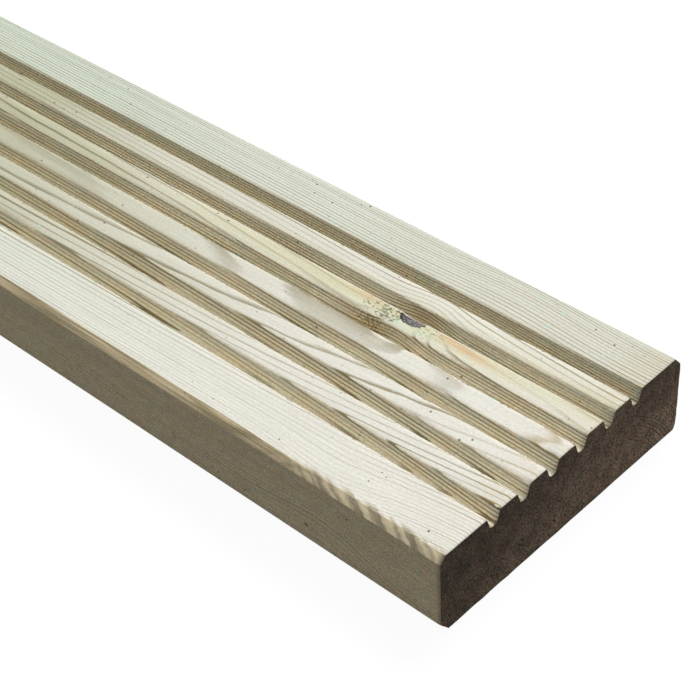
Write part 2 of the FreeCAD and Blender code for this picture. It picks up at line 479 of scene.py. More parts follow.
class BoardShape:
    """The whole board as arrays: its points, its faces and what each of them carries."""

    def __init__(self, section, grain):
        self.section, self.grain = section, grain
        self.rng = np.random.default_rng(SEED)
        self.face, self.under = face_run(section), underside_run(section)
        self.rows = np.linspace(0.0, 1.0, section.end_rows + 1)
        self.loop = self.section_loop()
        self.x = stations(section)
        self.skin_points, self.masks = self.skin()
        self.skin_faces = self.skin_quads()
        ends = [self.end(-1), self.end(1)]
        self.points = np.vstack([self.skin_points, *(points for points, faces in ends)])
        self.end_faces = [faces for points, faces in ends]

    def side_heights(self, column):
        """Heights of the points up a side, between the rounded edges at its top and bottom."""
        return self.under[column, 1] + self.rows[1:-1] * (self.face[column, 1] - self.under[column, 1])

    def section_loop(self):
        """The section's closed outline as (y, z): along the underside, up the far side, back over the face
        and down the near side, which is anticlockwise seen from the end at +X."""
        far, near = self.side_heights(-1), self.side_heights(0)
        far_side = np.stack([np.full_like(far, HIGH[1]), far], axis=1)
        near_side = np.stack([np.full_like(near, LOW[1]), near], axis=1)
        return np.vstack([self.under, far_side, self.face[::-1], near_side[::-1]])

    def skin(self):
        """The outline carried along every station, sunk by its wear, with a mask for each kind of surface.

        The wear is the sum of the saw's broken edge, which fades as an exponential from the end, chips
        where ripples rise past a threshold along the sharp lips, and the hollow of a knot that has shrunk.
        There are three masks: how far the timber takes the face colours, bleached and painted paler for
        glare, in part on the grooves' walls, less on the ribs' near lips as painted shade, and in full on
        the walking face; where the bevels are; and where the ribs' far lips are.
        """
        section = self.section
        tangent = np.roll(self.loop, -1, axis=0) - np.roll(self.loop, 1, axis=0)
        normal = np.stack([tangent[:, 1], -tangent[:, 0]], axis=1)
        normal /= np.linalg.norm(normal, axis=1, keepdims=True)
        steps = np.diff(np.vstack([self.loop[-1:], self.loop, self.loop[:1]]), axis=0)
        heading = np.arctan2(steps[:, 1], steps[:, 0])
        turning = np.mod(np.diff(heading) + math.pi, math.tau) - math.pi
        lip = smoothstep(*LIP_TURN, turning)
        around = np.concatenate([[0.0], np.cumsum(np.linalg.norm(np.diff(self.loop, axis=0), axis=1))])

        x = self.x[:, None]
        y, z = self.loop[:, 0] + 0.0 * x, self.loop[:, 1] + 0.0 * x
        from_end = np.minimum(x - LOW[0], HIGH[0] - x)
        knot = tree_fields(x + 0.0 * y, y, z, self.grain)["knot"]
        uneven = ripples(self.rng, 0.0, around, 1.0, RAGGED_LENGTH)
        ragged = RAGGED_LEVEL + RAGGED_SWING * np.clip(uneven, -RAGGED_LIMIT, RAGGED_LIMIT)
        broken = section.edge_break * ragged * np.exp(-from_end / BREAK_REACH)
        chipped = ripples(self.rng, x, around, CHIP_LENGTH, CHIP_WIDTH) - CHIP_LEVEL
        chips = section.chip_depth * lip * np.clip(chipped, 0.0, 1.0)
        hollow = section.knot_hollow * smoothstep(*HOLLOW_RIM, knot)
        sunk = broken + chips + hollow
        drawn_in = np.sign(x) * DRAWN_SHARE * section.edge_break * ragged * np.exp(-from_end / DRAWN_REACH)
        points = np.stack([x - drawn_in, y - sunk * normal[:, 0], z - sunk * normal[:, 1]], axis=-1)

        far, up = normal.T
        below_top = self.loop[:, 1] - HIGH[2]
        # Where it looks up, the timber takes the face colours: bleached, and painted paler for glare
        on_face = smoothstep(*FACE_LEAN, up) * smoothstep(*FACE_HEIGHT, below_top)
        # Painted shade: the ribs' near lips face away from the light and take less of the face colours
        on_face *= np.where(far < -LIP_LEAN, SHADED_NEAR_LIP_SHARE, 1.0)
        grooved = smoothstep(*GROOVES_FROM_SIDE, HIGH[1] - np.abs(self.loop[:, 0]))
        skyward = WALL_BLEACH_AND_GLARE * grooved * smoothstep(*WALL_LEAN, up)
        bevel = (1.0 - grooved) * smoothstep(*BEVEL_LEAN, up) * smoothstep(*BEVEL_LEAN, np.abs(far))
        far_lip = grooved * (far > LIP_LEAN) * (self.loop[:, 1] > HIGH[2] - LIP_SHARE * section.lip_radius)
        masks = {"bleach_and_glare": skyward + (1.0 - skyward) * on_face, "bevel": bevel, "far_lip": far_lip}
        return points.reshape(-1, 3), {name: np.tile(mask, len(self.x)) for name, mask in masks.items()}

    def skin_quads(self):
        """Quads between each outline and the next, whose corners turn so that they face outwards."""
        count = len(self.loop)
        here = np.arange(len(self.x) - 1)[:, None] * count + np.arange(count)
        beside = np.arange(len(self.x) - 1)[:, None] * count + (np.arange(count) + 1) % count
        return np.stack([here, beside, beside + count, here + count], axis=-1).reshape(-1, 4)

    def end(self, side):
        """One sawn end as (new points, faces). Columns run up from the underside to every point of the
        face, and rows divide them evenly. The saw's marks sink the inner points by ripples across the end.
        The lowest row is zipped to the underside's coarser points: each of its stretches takes the column
        nearest to its middle."""
        columns, rows, count = len(self.face), len(self.rows), len(self.loop)
        start = 0 if side < 0 else (len(self.x) - 1) * count
        y = np.tile(self.face[1:-1, 0], (rows - 2, 1))
        floor_z = np.interp(self.face[1:-1, 0], self.under[:, 0], self.under[:, 1])
        z = floor_z + self.rows[1:-1, None] * (self.face[1:-1, 1] - floor_z)
        uneven = np.clip(ripples(self.rng, y, z, SAW_LENGTH, SAW_WIDTH), -SAW_LIMIT, SAW_LIMIT)
        marks = self.section.saw_depth * (SAW_LEVEL + SAW_SWING * uneven)
        x = (HIGH[0] if side > 0 else LOW[0]) - side * marks
        points = np.stack([x, y, z], axis=-1).reshape(-1, 3)

        far_first = len(self.under)
        face_last = far_first + rows - 2 + columns - 1
        near_last = face_last + rows - 2
        first_new = len(self.skin_points) + (len(points) if side > 0 else 0)
        grid = np.empty((rows - 1, columns), int)
        grid[-1] = start + face_last - np.arange(columns)
        grid[:-1, 0] = start + near_last - np.arange(rows - 2)
        grid[:-1, -1] = start + far_first + np.arange(rows - 2)
        grid[:-1, 1:-1] = first_new + np.arange(len(points)).reshape(rows - 2, columns - 2)
        quads = np.stack([grid[:-1, :-1], grid[:-1, 1:], grid[1:, 1:], grid[1:, :-1]], axis=-1)
        quads = quads.reshape(-1, 4)

        low = start + np.arange(len(self.under))
        middles = (self.under[1:, 0] + self.under[:-1, 0]) / 2
        apex = np.searchsorted(self.face[:, 0], middles)
        foot = np.searchsorted(apex, np.arange(columns - 1), side="right")
        upward = np.stack([low[:-1], low[1:], grid[0, apex]], axis=-1)
        downward = np.stack([low[foot], grid[0, 1:], grid[0, :-1]], axis=-1)
        faces = [quads, np.vstack([upward, downward])]
        return points, faces if side > 0 else [corners[:, ::-1] for corners in faces]

    def bake_places(self):
        """Places on a flat map for every face corner: the skin unrolled with its length along the map and
        its outline up it, and the two ends side by side above it."""
        steps = np.linalg.norm(np.diff(np.vstack([self.loop, self.loop[:1]]), axis=0), axis=1)
        up = MAP_SKIN * np.concatenate([[0.0], np.cumsum(steps)]) / steps.sum()
        along = (self.x - LOW[0]) / (HIGH[0] - LOW[0])
        shape = (len(self.x) - 1, len(self.loop))
        length = len(along) - 1
        u = np.stack([np.broadcast_to(along[a:length + a, None], shape) for a in (0, 0, 1, 1)], axis=-1)
        v = np.stack([np.broadcast_to(up[a:len(up) - 1 + a], shape) for a in (0, 1, 1, 0)], axis=-1)
        places = [np.stack([u, v], axis=-1).reshape(-1, 2)]
        for left, faces in zip(MAP_END_LEFTS, self.end_faces):
            for corners in faces:
                across = (self.points[corners.ravel()] - LOW) / (HIGH - LOW)
                u, v = left + MAP_END_WIDTH * across[:, 1], MAP_END_BOTTOM + MAP_END_HEIGHT * across[:, 2]
                places.append(np.stack([u, v], axis=1))
        return np.vstack(places)

    def mesh(self, name):
        """The arrays as a mesh: points, faces, finishes, the flat map and the fields of each point."""
        groups = [self.skin_faces, *self.end_faces[0], *self.end_faces[1]]
        corners = np.concatenate([faces.ravel() for faces in groups])
        sizes = np.concatenate([np.full(len(faces), faces.shape[1]) for faces in groups])
        on_skin = np.arange(len(sizes)) < len(self.skin_faces)
        mesh = bpy.data.meshes.new(name)
        mesh.vertices.add(len(self.points))
        mesh.vertices.foreach_set("co", self.points.astype(np.float32).ravel())
        mesh.loops.add(len(corners))
        mesh.loops.foreach_set("vertex_index", corners.astype(np.int32))
        mesh.polygons.add(len(sizes))
        mesh.polygons.foreach_set("loop_start", (np.cumsum(sizes) - sizes).astype(np.int32))
        mesh.polygons.foreach_set("material_index", np.where(on_skin, SKIN, SAWN_END).astype(np.int32))
        mesh.polygons.foreach_set("use_smooth", on_skin)
        mesh.update(calc_edges=True)
        if mesh.validate():
            raise RuntimeError("The board's mesh has faces that can't be")
        places = self.bake_places().astype(np.float32).ravel()
        mesh.uv_layers.new(name=BAKE_MAP).uv.foreach_set("vector", places)
        fields = tree_fields(*self.points.T, self.grain)
        bare = np.zeros(len(self.points) - len(self.skin_points))
        fields.update((name, np.concatenate([mask, bare])) for name, mask in self.masks.items())
        for field, values in fields.items():
            carried = mesh.attributes.new(field, "FLOAT", "POINT").data
            carried.foreach_set("value", values.astype(np.float32))
        return mesh


def rgba(tint):
    """A colour as a socket takes it: another node's output as it is, or three numbers with an alpha."""
    return tint if isinstance(tint, bpy.types.NodeSocket) else (*tint, 1.0)


class Bench:
    """The nodes of a material or a world, with a short call for each kind of node that they are made of."""

    def __init__(self, owner):
        owner.use_nodes = True
        self.owner = owner
        self.tree = owner.node_tree

    def node(self, kind, inputs, **settings):
        """A node of a kind, with its settings, and its inputs linked or set."""
        made = self.tree.nodes.new(kind)
        for key, value in settings.items():
            setattr(made, key, value)
        for key, value in inputs.items():
            self.put(made.inputs[key], value)
        return made

    def put(self, socket, value):
        """Links another node's output into a socket, or sets it to a plain value."""
        if isinstance(value, bpy.types.NodeSocket):
            self.tree.links.new(value, socket)
        else:
            socket.default_value = value

    def math(self, operation, *values):
        """One sum on numbers."""
        return self.node("ShaderNodeMath", dict(enumerate(values)), operation=operation).outputs[0]

    def both(self, first, second):
        """Two numbers multiplied: what two masks share."""
        return self.math("MULTIPLY", first, second)

    def scaled(self, number, by, plus):
        """A number times a second one, plus a third."""
        return self.math("MULTIPLY_ADD", number, by, plus)

    def change(self, number, mask, by):
        """A number made larger, or smaller, by a share of itself where the mask is 1."""
        return self.both(number, self.scaled(mask, by, 1.0))

    def step(self, value, start, full):
        """A number's smooth way from 0 where it is at the start to 1 where it is full, rising or falling."""
        inputs = {"Value": value, "From Min": start, "From Max": full}
        return self.node("ShaderNodeMapRange", inputs, interpolation_type="SMOOTHSTEP").outputs[0]

    def blend(self, amount, first, second):
        """The first colour where the amount is 0, and the second where it is 1."""
        inputs = {0: amount, 6: rgba(first), 7: rgba(second)}
        return self.node("ShaderNodeMix", inputs, data_type="RGBA").outputs[2]

    def product(self, first, second):
        """Two colours multiplied."""
        return self.node("ShaderNodeVectorMath", {0: first, 1: second}, operation="MULTIPLY").outputs[0]

    def shade(self, wood, amount):
        """A colour made darker or lighter by a number."""
        return self.node("ShaderNodeVectorMath", {0: wood, "Scale": amount}, operation="SCALE").outputs[0]

    def lift(self, wood, mask, by):
        """A colour made lighter, or darker, by a share of itself where the mask is 1."""
        return self.shade(wood, self.scaled(mask, by, 1.0))

    def grain(self, wood, amount, by, mask=1.0):
        """A colour made lighter by a share of itself where the amount is 1, and darker by as much where it
        is 0, as far as the mask goes."""
        return self.lift(wood, self.scaled(amount, 2.0 * by, -by), mask)

    def tint(self, wood, mask, tint):
        """A colour multiplied by a tint where the mask is 1."""
        return self.product(wood, self.blend(mask, WHITE, tint))

    def paint(self, wood, mask, strength, tint):
        """A colour covered by another where the mask is 1, as far as the strength goes."""
        return self.blend(self.both(mask, strength), wood, tint)

    def field(self, name):
        """One of the numbers that every point of the mesh carries."""
        return self.node("ShaderNodeAttribute", {}, attribute_name=name).outputs["Fac"]

    def place(self):
        """The place on the object, in metres."""
        return self.node("ShaderNodeTexCoord", {}).outputs["Object"]

    def along(self, axis):
        """The place along one axis, in metres."""
        return self.node("ShaderNodeSeparateXYZ", {0: self.place()}).outputs[axis]

    def stretched(self, lengths):
        """The place over a length along, across and up, in millimetres, which sizes a pattern's blobs."""
        return self.product(self.place(), [1.0 / (length * MM) for length in lengths])

    def cloud(self, lengths, detail=2.0):
        """A soft noise about 0.5 with blobs of about the given lengths."""
        inputs = {"Vector": self.stretched(lengths), "Scale": 1.0, "Detail": detail}
        return self.node("ShaderNodeTexNoise", inputs).outputs[0]

    def blobs(self, lengths, low, high, detail=2.0):
        """A soft noise made sharper: 0 where it is at most low, and 1 where it is at least high."""
        return self.step(self.cloud(lengths, detail), low, high)

    def hues(self, lengths, first, second, detail=2.0):
        """Two colours in patches of about the given lengths."""
        return self.blend(self.blobs(lengths, low=0.35, high=0.65, detail=detail), first, second)

    def bars(self, direction, length, shake):
        """Soft bars square to a direction, about a length apart and shaken by a noise, in millimetres."""
        dot = self.node("ShaderNodeVectorMath", {0: self.place(), 1: direction}, operation="DOT_PRODUCT")
        shaken = self.scaled(self.cloud(BAR_WAVES), shake * MM, dot.outputs["Value"])
        inputs = {"W": self.math("DIVIDE", shaken, length * MM), "Scale": 1.0, "Detail": 1.0}
        return self.node("ShaderNodeTexNoise", inputs, noise_dimensions="1D").outputs[0]

    def spots(self, gap, radius, chosen):
        """Round spots of a radius in millimetres, one in each cell of a gap's width, in the chosen share of
        cells, each with a strength of its own."""
        cells = self.node("ShaderNodeTexVoronoi", {"Vector": self.stretched((gap, gap, gap)), "Scale": 1.0})
        near = self.step(cells.outputs["Distance"], radius / gap, SPOT_CORE * radius / gap)
        drawn = self.node("ShaderNodeSeparateColor", {0: cells.outputs["Color"]}).outputs[0]
        return self.both(near, self.step(drawn, chosen, self.both(chosen, STRONG_SPOTS)))

    def oval(self, middle, turn, halves):
        """1 inside an oval of the given half sizes, turned about the board's length, and 0 at its rim."""
        inputs = {"Vector": self.place(), "Location": middle, "Rotation": (turn, 0.0, 0.0), "Scale": halves}
        near = self.node("ShaderNodeMapping", inputs, vector_type="TEXTURE").outputs[0]
        reach = self.node("ShaderNodeVectorMath", {0: near}, operation="LENGTH").outputs["Value"]
        return self.step(reach, 1.0, OVAL_CORE)

    def surface(self, wood, roughness, gloss, relief, strength, depth):
        """The material, given its colour, roughness and gloss, and a relief of a strength and a depth."""
        bump = self.node("ShaderNodeBump", {"Height": relief, "Strength": strength, "Distance": depth})
        shader = self.tree.nodes["Principled BSDF"].inputs
        self.put(shader["Base Color"], wood)
        self.put(shader["Roughness"], roughness)
        self.put(shader["Specular IOR Level"], gloss)
        self.put(shader["Normal"], bump.outputs[0])
        return self.owner


# How much of a spot's radius is at full strength, what share of the chosen spots is, how much of an oval
# is, how deep an oval's mark reaches into the board, and half the width of a drying crack
SPOT_CORE = 0.6
STRONG_SPOTS = 0.4
OVAL_CORE = 0.4
SPOT_DEPTH = 10 * MM
CHECK_HALF_WIDTH = 0.32 * MM

# Where a zone starts and where it is full: across the board, up it, from its nearer sawn end, and from a
# knot or along it, in the knot's radii
NEAR_ARRIS = (-55.4 * MM, -57.6 * MM)
NEAR_MARGIN = (-36 * MM, -45 * MM)
NEAR_RIBS = (-20 * MM, -26 * MM)
PAST_NEAR_MARGIN = (-40 * MM, -30 * MM)
FAR_RIBS = (-15 * MM, 30 * MM)
FAR_GROOVES = (10 * MM, 34 * MM)
FAR_TOP = (22 * MM, 45 * MM)
FAR_MARGIN = (33 * MM, 41 * MM)
BOTH_MARGINS = (34 * MM, 41 * MM)
FAR_CORNER = (36 * MM, 50 * MM)
LOW_SIDE = (20 * MM, 6 * MM)
# Painted light from the floor: the near side is paler towards the bottom
FLOOR_LIT_SIDE = (29 * MM, 6 * MM)
LOW_CORNER = (20 * MM, 12 * MM)
TOP_OF_END = (9 * MM, 22 * MM)
BANDED_STRETCH = (68 * MM, 48 * MM)
EASED_STRETCH = (40 * MM, 5 * MM)
WARM_STRETCH = (20 * MM, 3 * MM)
STAINED_RIM = (2.4 * MM, 0.0)
BY_KNOT = (7.0, 3.0)
SPECKS_REACH = (4.8, 1.8)
BROWN_WALLS = (3.6, 1.2)
HALO_REACH = (3.1, 1.2)
BLUSH_REACH = (2.2, 1.0)
HEART_RIM = (1.06, 0.94)
BARK_RIM = (1.14, 1.02)
PAST_EITHER_END = (0.6, 1.8)
PAST_FRONT_END = (0.0, 1.0)
BACK_END = (0.4, -1.2)

# How far resin has soaked in before timber counts as soaked, and the other way round as dry
SOAKED, DRY = (0.2, 0.6), (0.6, 0.2)

# Levels of noise between which the streaks and bars of a bevel go from dark to pale
STREAK_EDGES = (0.36, 0.64)

# The sawn end grows paler away from its near top: a place counts by how far across it lies plus this many
# times its height, from where the end is darkest to where it is palest
END_LEAN = -2.0
END_PALER = (-95 * MM, 15 * MM)

# Lengths along, across and up of the noises' blobs, in millimetres
RING_WAVES = ((95, 7, 7), (40, 3, 3), (16, 1.3, 1.3))
BAR_WAVES = (6, 2, 2)
WEATHER_PATCHES = (150, 14, 14)
RESIN_RUNS = (14, 1.0, 1.0)
CURLS = (0.9, 0.7, 0.7)
HALO_PATCHES = (3, 1.2, 1.2)
HALO_MOTTLE = (1.8, 0.9, 0.9)
BLUSH = (2.4, 1.0, 1.0)
KNOT_SPECKS = (1.4, 0.8, 0.8)
KNOT_OUTLINE = (1.8, 1.1, 1.1)
HEART_MOTTLE = (1.1, 0.6, 0.6)
BEVEL_STREAKS = (42, 0.6, 0.6)
SIDE_BLOTCHES = (3.2, 2.2, 2.2)
SIDE_GRIT = (0.7, 0.5, 0.5)
SIDE_HUES = (12, 3, 3)
WALL_GRIT = (0.6, 0.6, 0.6)
LIP_TEARS = (1.7, 0.9, 0.9)
LIP_WAVES = (8, 1.2, 1.2)
FIBRES = (22, 0.36, 0.36)
FACE_GRIT = (1.2, 0.5, 0.5)
FACE_HUES = (1.0, 0.6, 0.6)
END_FIBRES = (0.8, 0.8, 0.8)
END_BLOTCHES = (6, 6, 6)
END_HUES = (2.6, 2.6, 2.6)

# Tints, which a colour is multiplied by
DEEP_TINT = (0.82, 0.815, 0.775)
CURLY_TINT = (0.68, 0.61, 0.45)
KNOT_WALL_TINT = (0.82, 0.76, 0.62)
# Painted shade of the teeth on the face's near edge
TEETH_SHADE_TINT = (0.55, 0.47, 0.34)
BEVEL_TINT = (1.22, 1.13, 0.98)
BANDED_TINT = (0.99, 1.03, 1.1)
SIDE_TINT = (0.945, 0.905, 0.84)
LIP_TINT = (1.02, 0.985, 0.89)
LAST_RINGS_TINT = (1.0, 0.86, 0.62)
LAST_RIBS_TINT = (0.955, 0.94, 0.915)
SIDE_WARM, SIDE_COOL = (1.03, 0.99, 0.955), (0.97, 1.005, 1.03)
FACE_WARM, FACE_COOL = (1.02, 0.997, 0.97), (0.98, 1.003, 1.03)
END_WARM, END_COOL = (1.08, 0.98, 0.94), (0.93, 1.02, 1.02)

# A ring's tone through its year: when its rise starts and is full, each as how much sooner where the summer
# wood is broad and when it is otherwise, how broad that is at least on bevels and walls, when the drop
# starts and how much sooner on a soft surface, how soft a bevel is, and how strong a year is at least and
# by how much it varies
RISE_START, RISE_FULL = (-0.46, 0.66), (-0.55, 0.94)
BEVEL_BREADTH, WALL_BREADTH = 0.6, 0.22
DROP_START, DROP_SOONER = 0.96, -0.1
BEVEL_SOFTNESS = 2.0
YEAR_LEAST, YEAR_SWING = 0.22, 0.9

# How far the long noise shakes the ring count, and the short one on the skin and on a sawn end, in rings
RING_DRIFT, SKIN_RIPPLE, END_RIPPLE = 0.5, 0.15, 0.2

# How much stronger the rings show on a kind of surface, or weaker, as a share
RINGS_ON = {
    "near margin": -0.62, "side": -0.3, "low side": -0.25, "bevel": -0.5, "banded bevel": -0.5, "wall": 0.8,
    "face": 0.2, "far margin": 0.25, "worn face": 0.45, "worn near rib": 1.0, "resin": -0.72,
    "resin by a knot": -0.45, "dry by a knot": 0.55, "grazed ring": -0.58,
}


def walking_face(bench, start=0.5):
    """1 on the walking face, bleached and painted with glare in full, rising from a share of that."""
    return bench.step(bench.field("bleach_and_glare"), start, full=1.0)


def below_face(bench, start=0.95, full=0.6):
    """1 in the grooves and on the sides, 0 on the walking face, between two shares of bleach and glare."""
    return bench.step(bench.field("bleach_and_glare"), start, full)


def near_lips(bench):
    """1 on the ribs' near lips: bleached nearly in full, less a painted shade where they face away."""
    bleach_and_glare = bench.field("bleach_and_glare")
    return bench.both(bench.step(bleach_and_glare, start=0.5, full=0.75), bench.step(bleach_and_glare, start=1.0, full=0.85))


def groove_walls(bench):
    """1 on the grooves' walls, which are bleached and painted with glare in part."""
    return bench.both(bench.step(bench.field("bleach_and_glare"), start=0.1, full=0.3), below_face(bench, start=0.9))


def plain_sides(bench):
    """1 where there is neither bleach nor painted glare, on the sides and underside, and 0 on the upper
    bevels.
    """
    return bench.change(below_face(bench, start=0.3, full=0.0), bench.field("bevel"), by=-1.0)


def from_end(bench):
    """How far the nearer sawn end is."""
    return bench.math("SUBTRACT", HIGH[0], bench.math("ABSOLUTE", bench.along(0)))


def banded(bench):
    """1 near a sawn end where the rings bulge enough to cross an edge in bands."""
    bulging = bench.step(bench.field("swollen"), start=0.25, full=0.45)
    return bench.both(bulging, bench.step(from_end(bench), *BANDED_STRETCH))


def ring_tone(bench, ripple):
    """How dark the growth is, from 0 in spring wood to 1 at the end of summer.

    The ring count is shaken by a long noise, a middling and a short one. Its fraction is the time of year:
    the tone rises through the year, sooner where the summer wood is broad, and drops at its end, more
    softly on a bevel and where the cut only grazes a ring. Each year has a strength of its own, drawn from
    its whole number.
    """
    count = bench.field("ring")
    for lengths, shake in zip(RING_WAVES, (RING_DRIFT, 0.5 * RING_DRIFT, ripple)):
        count = bench.scaled(bench.cloud(lengths), shake, count)
    year, season = bench.math("FLOOR", count), bench.math("FRACT", count)
    broad, bevel = bench.field("broad"), bench.field("bevel")
    for mask, least in ((bevel, BEVEL_BREADTH), (groove_walls(bench), WALL_BREADTH)):
        broad = bench.math("MAXIMUM", broad, bench.both(mask, least))
    start, full = (bench.scaled(broad, *limits) for limits in (RISE_START, RISE_FULL))
    soft = bench.scaled(bevel, BEVEL_SOFTNESS, bench.field("graze"))
    drop = bench.step(season, 1.0, bench.scaled(soft, DROP_SOONER, DROP_START))
    rise = bench.both(bench.step(season, start, full), drop)
    own = bench.node("ShaderNodeTexWhiteNoise", {"W": year}, noise_dimensions="1D").outputs["Value"]
    return bench.both(rise, bench.scaled(own, YEAR_SWING, YEAR_LEAST))


def weather(bench):
    """How far the weather has gone: it comes and goes as a cosine, from nothing at the seen end."""
    turned = bench.scaled(bench.along(0), WEATHER_TURN, -WEATHER_TURN * HIGH[0])
    return bench.scaled(bench.math("COSINE", turned), by=-0.5, plus=0.5)


def skin_tone(bench, tone, age):
    """The rings' tone on the planed skin, made stronger or weaker on each kind of surface by a share of
    itself. On the near margin that weakening is eased towards a sawn end."""
    across, bevel, soak = bench.along(1), bench.field("bevel"), bench.field("soak")
    face, side = walking_face(bench), plain_sides(bench)
    near = bench.both(face, bench.step(across, *NEAR_MARGIN))
    close = bench.both(face, bench.step(bench.field("knot"), *BY_KNOT))
    masks = {
        "near margin": bench.change(near, bench.step(from_end(bench), *EASED_STRETCH), by=-0.5),
        "side": side,
        "low side": bench.both(side, bench.step(bench.along(2), *LOW_SIDE)),
        "bevel": bevel,
        "banded bevel": bench.both(bevel, banded(bench)),
        "wall": groove_walls(bench),
        "face": face,
        "far margin": bench.both(face, bench.step(across, *FAR_MARGIN)),
        "worn face": bench.both(age, face),
        "worn near rib": bench.both(age, bench.both(face, bench.step(across, *NEAR_RIBS))),
        "resin": bench.both(face, soak),
        "resin by a knot": bench.both(close, bench.step(soak, *SOAKED)),
        "dry by a knot": bench.both(close, bench.step(soak, *DRY)),
        "grazed ring": bench.both(face, bench.field("graze")),
    }
    for kind, mask in masks.items():
        tone = bench.change(tone, mask, RINGS_ON[kind])
    return tone


def weathered(bench, grain, wood, age):
    """Timber tinted by its weather and its treatment.

    The weather comes in patches. It tints the ribs more than the grooves, and the margins in a tint of
    their own. Towards the far side the ribs weather less where it has barely started and more where it has
    gone far. The far margin keeps a green tint of preservative, which fades with the weather. The grooves
    and sides are darker and browner towards the far side.
    """
    across, face = bench.along(1), walking_face(bench, start=0.4)
    patches = bench.both(age, bench.blobs(WEATHER_PATCHES, low=0.05, high=0.6))
    patches = bench.both(patches, bench.scaled(face, by=0.65, plus=0.35))
    far_ribs = bench.both(bench.step(across, *FAR_RIBS), face)
    more_or_less = bench.both(far_ribs, bench.scaled(age, by=0.9, plus=-0.62))
    patches = bench.change(patches, more_or_less, by=1.0)
    margins = bench.step(bench.math("ABSOLUTE", across), *BOTH_MARGINS)
    wood = bench.tint(wood, patches, bench.blend(margins, grain.worn_ribs, grain.worn_margins))
    far_margin = bench.both(bench.step(across, *FAR_MARGIN), walking_face(bench))
    treated = bench.blend(bench.step(age, start=0.0, full=0.5), grain.preservative, grain.faded)
    wood = bench.tint(wood, far_margin, treated)
    deep = bench.both(bench.step(across, *FAR_GROOVES), below_face(bench, start=0.9, full=0.4))
    return bench.tint(wood, deep, DEEP_TINT)


def knotted(bench, grain, wood):
    """Timber with its knots.

    Resin soaks a band along the grain and lies on the face in runs. In the grooves the timber is browner
    near a knot, and curly in a patch. On the face lie a pale green halo with a blush of resin in it, and
    dark specks past both ends of the knot, fewer past the one towards +X. The heart is mottled and stops
    short of a rib's far lip, and its rim of bark is thicker at the end towards -X.
    """
    knot, end, soak = bench.field("knot"), bench.field("knot_end"), bench.field("soak")
    lip, face, sunk = bench.field("far_lip"), walking_face(bench, start=0.6), below_face(bench)
    wood = bench.tint(wood, bench.both(soak, face), grain.soaked)
    runs = bench.both(bench.field("resin"), bench.blobs(RESIN_RUNS, low=0.22, high=0.55))
    wood = bench.paint(wood, bench.both(runs, face), strength=0.85, tint=grain.resin)

    curls = bench.both(bench.field("curl"), sunk)
    wood = bench.grain(wood, bench.blobs(CURLS, low=0.42, high=0.58, detail=1.0), by=0.42, mask=curls)
    wood = bench.tint(wood, curls, CURLY_TINT)
    wood = bench.tint(wood, bench.both(bench.step(knot, *BROWN_WALLS), sunk), KNOT_WALL_TINT)

    halo = bench.both(bench.step(knot, *HALO_REACH), bench.blobs(HALO_PATCHES, low=0.4, high=0.6))
    mottled = bench.scaled(bench.blobs(HALO_MOTTLE, low=0.38, high=0.62, detail=3.0), by=0.6, plus=0.4)
    wood = bench.paint(wood, bench.both(halo, face), strength=mottled, tint=grain.halo)
    blush = bench.both(bench.step(knot, *BLUSH_REACH), bench.blobs(BLUSH, low=0.54, high=0.68, detail=3.0))
    wood = bench.paint(wood, bench.both(blush, face), strength=0.8, tint=grain.resin)

    past_end = bench.step(bench.math("ABSOLUTE", end), *PAST_EITHER_END)
    beside = bench.both(bench.step(knot, *SPECKS_REACH), past_end)
    beside = bench.change(beside, bench.step(end, *PAST_FRONT_END), by=-0.75)
    specks = bench.scaled(beside, by=0.15, plus=bench.cloud(KNOT_SPECKS))
    specks = bench.both(bench.step(specks, start=0.59, full=0.75), bench.step(beside, start=0.05, full=0.3))
    specks = bench.both(specks, bench.step(soak, start=0.3, full=0.6))
    wood = bench.paint(wood, bench.both(specks, face), strength=0.8, tint=grain.speck)

    rough = bench.cloud(KNOT_OUTLINE, detail=3.0)
    uneven = bench.math("ADD", knot, bench.scaled(rough, by=0.5, plus=-0.25))
    inside = bench.step(lip, start=0.92, full=0.78)
    mottle = bench.blobs(HEART_MOTTLE, low=0.40, high=0.62, detail=3.0)
    heart = bench.blend(mottle, grain.knot_dark, grain.knot_pale)
    wood = bench.paint(wood, inside, strength=bench.step(uneven, *HEART_RIM), tint=heart)
    inner = bench.scaled(bench.step(end, *BACK_END), by=-0.16, plus=0.95)
    past_inner = bench.step(bench.math("SUBTRACT", uneven, inner), start=0.0, full=0.08)
    rim = bench.both(past_inner, bench.step(uneven, *BARK_RIM))
    wood = bench.paint(wood, inside, strength=rim, tint=grain.bark)
    # Painted highlight: a pale line along a rib's far lip where resin has soaked by a knot
    return bench.paint(wood, lip, strength=soak, tint=grain.face_early)


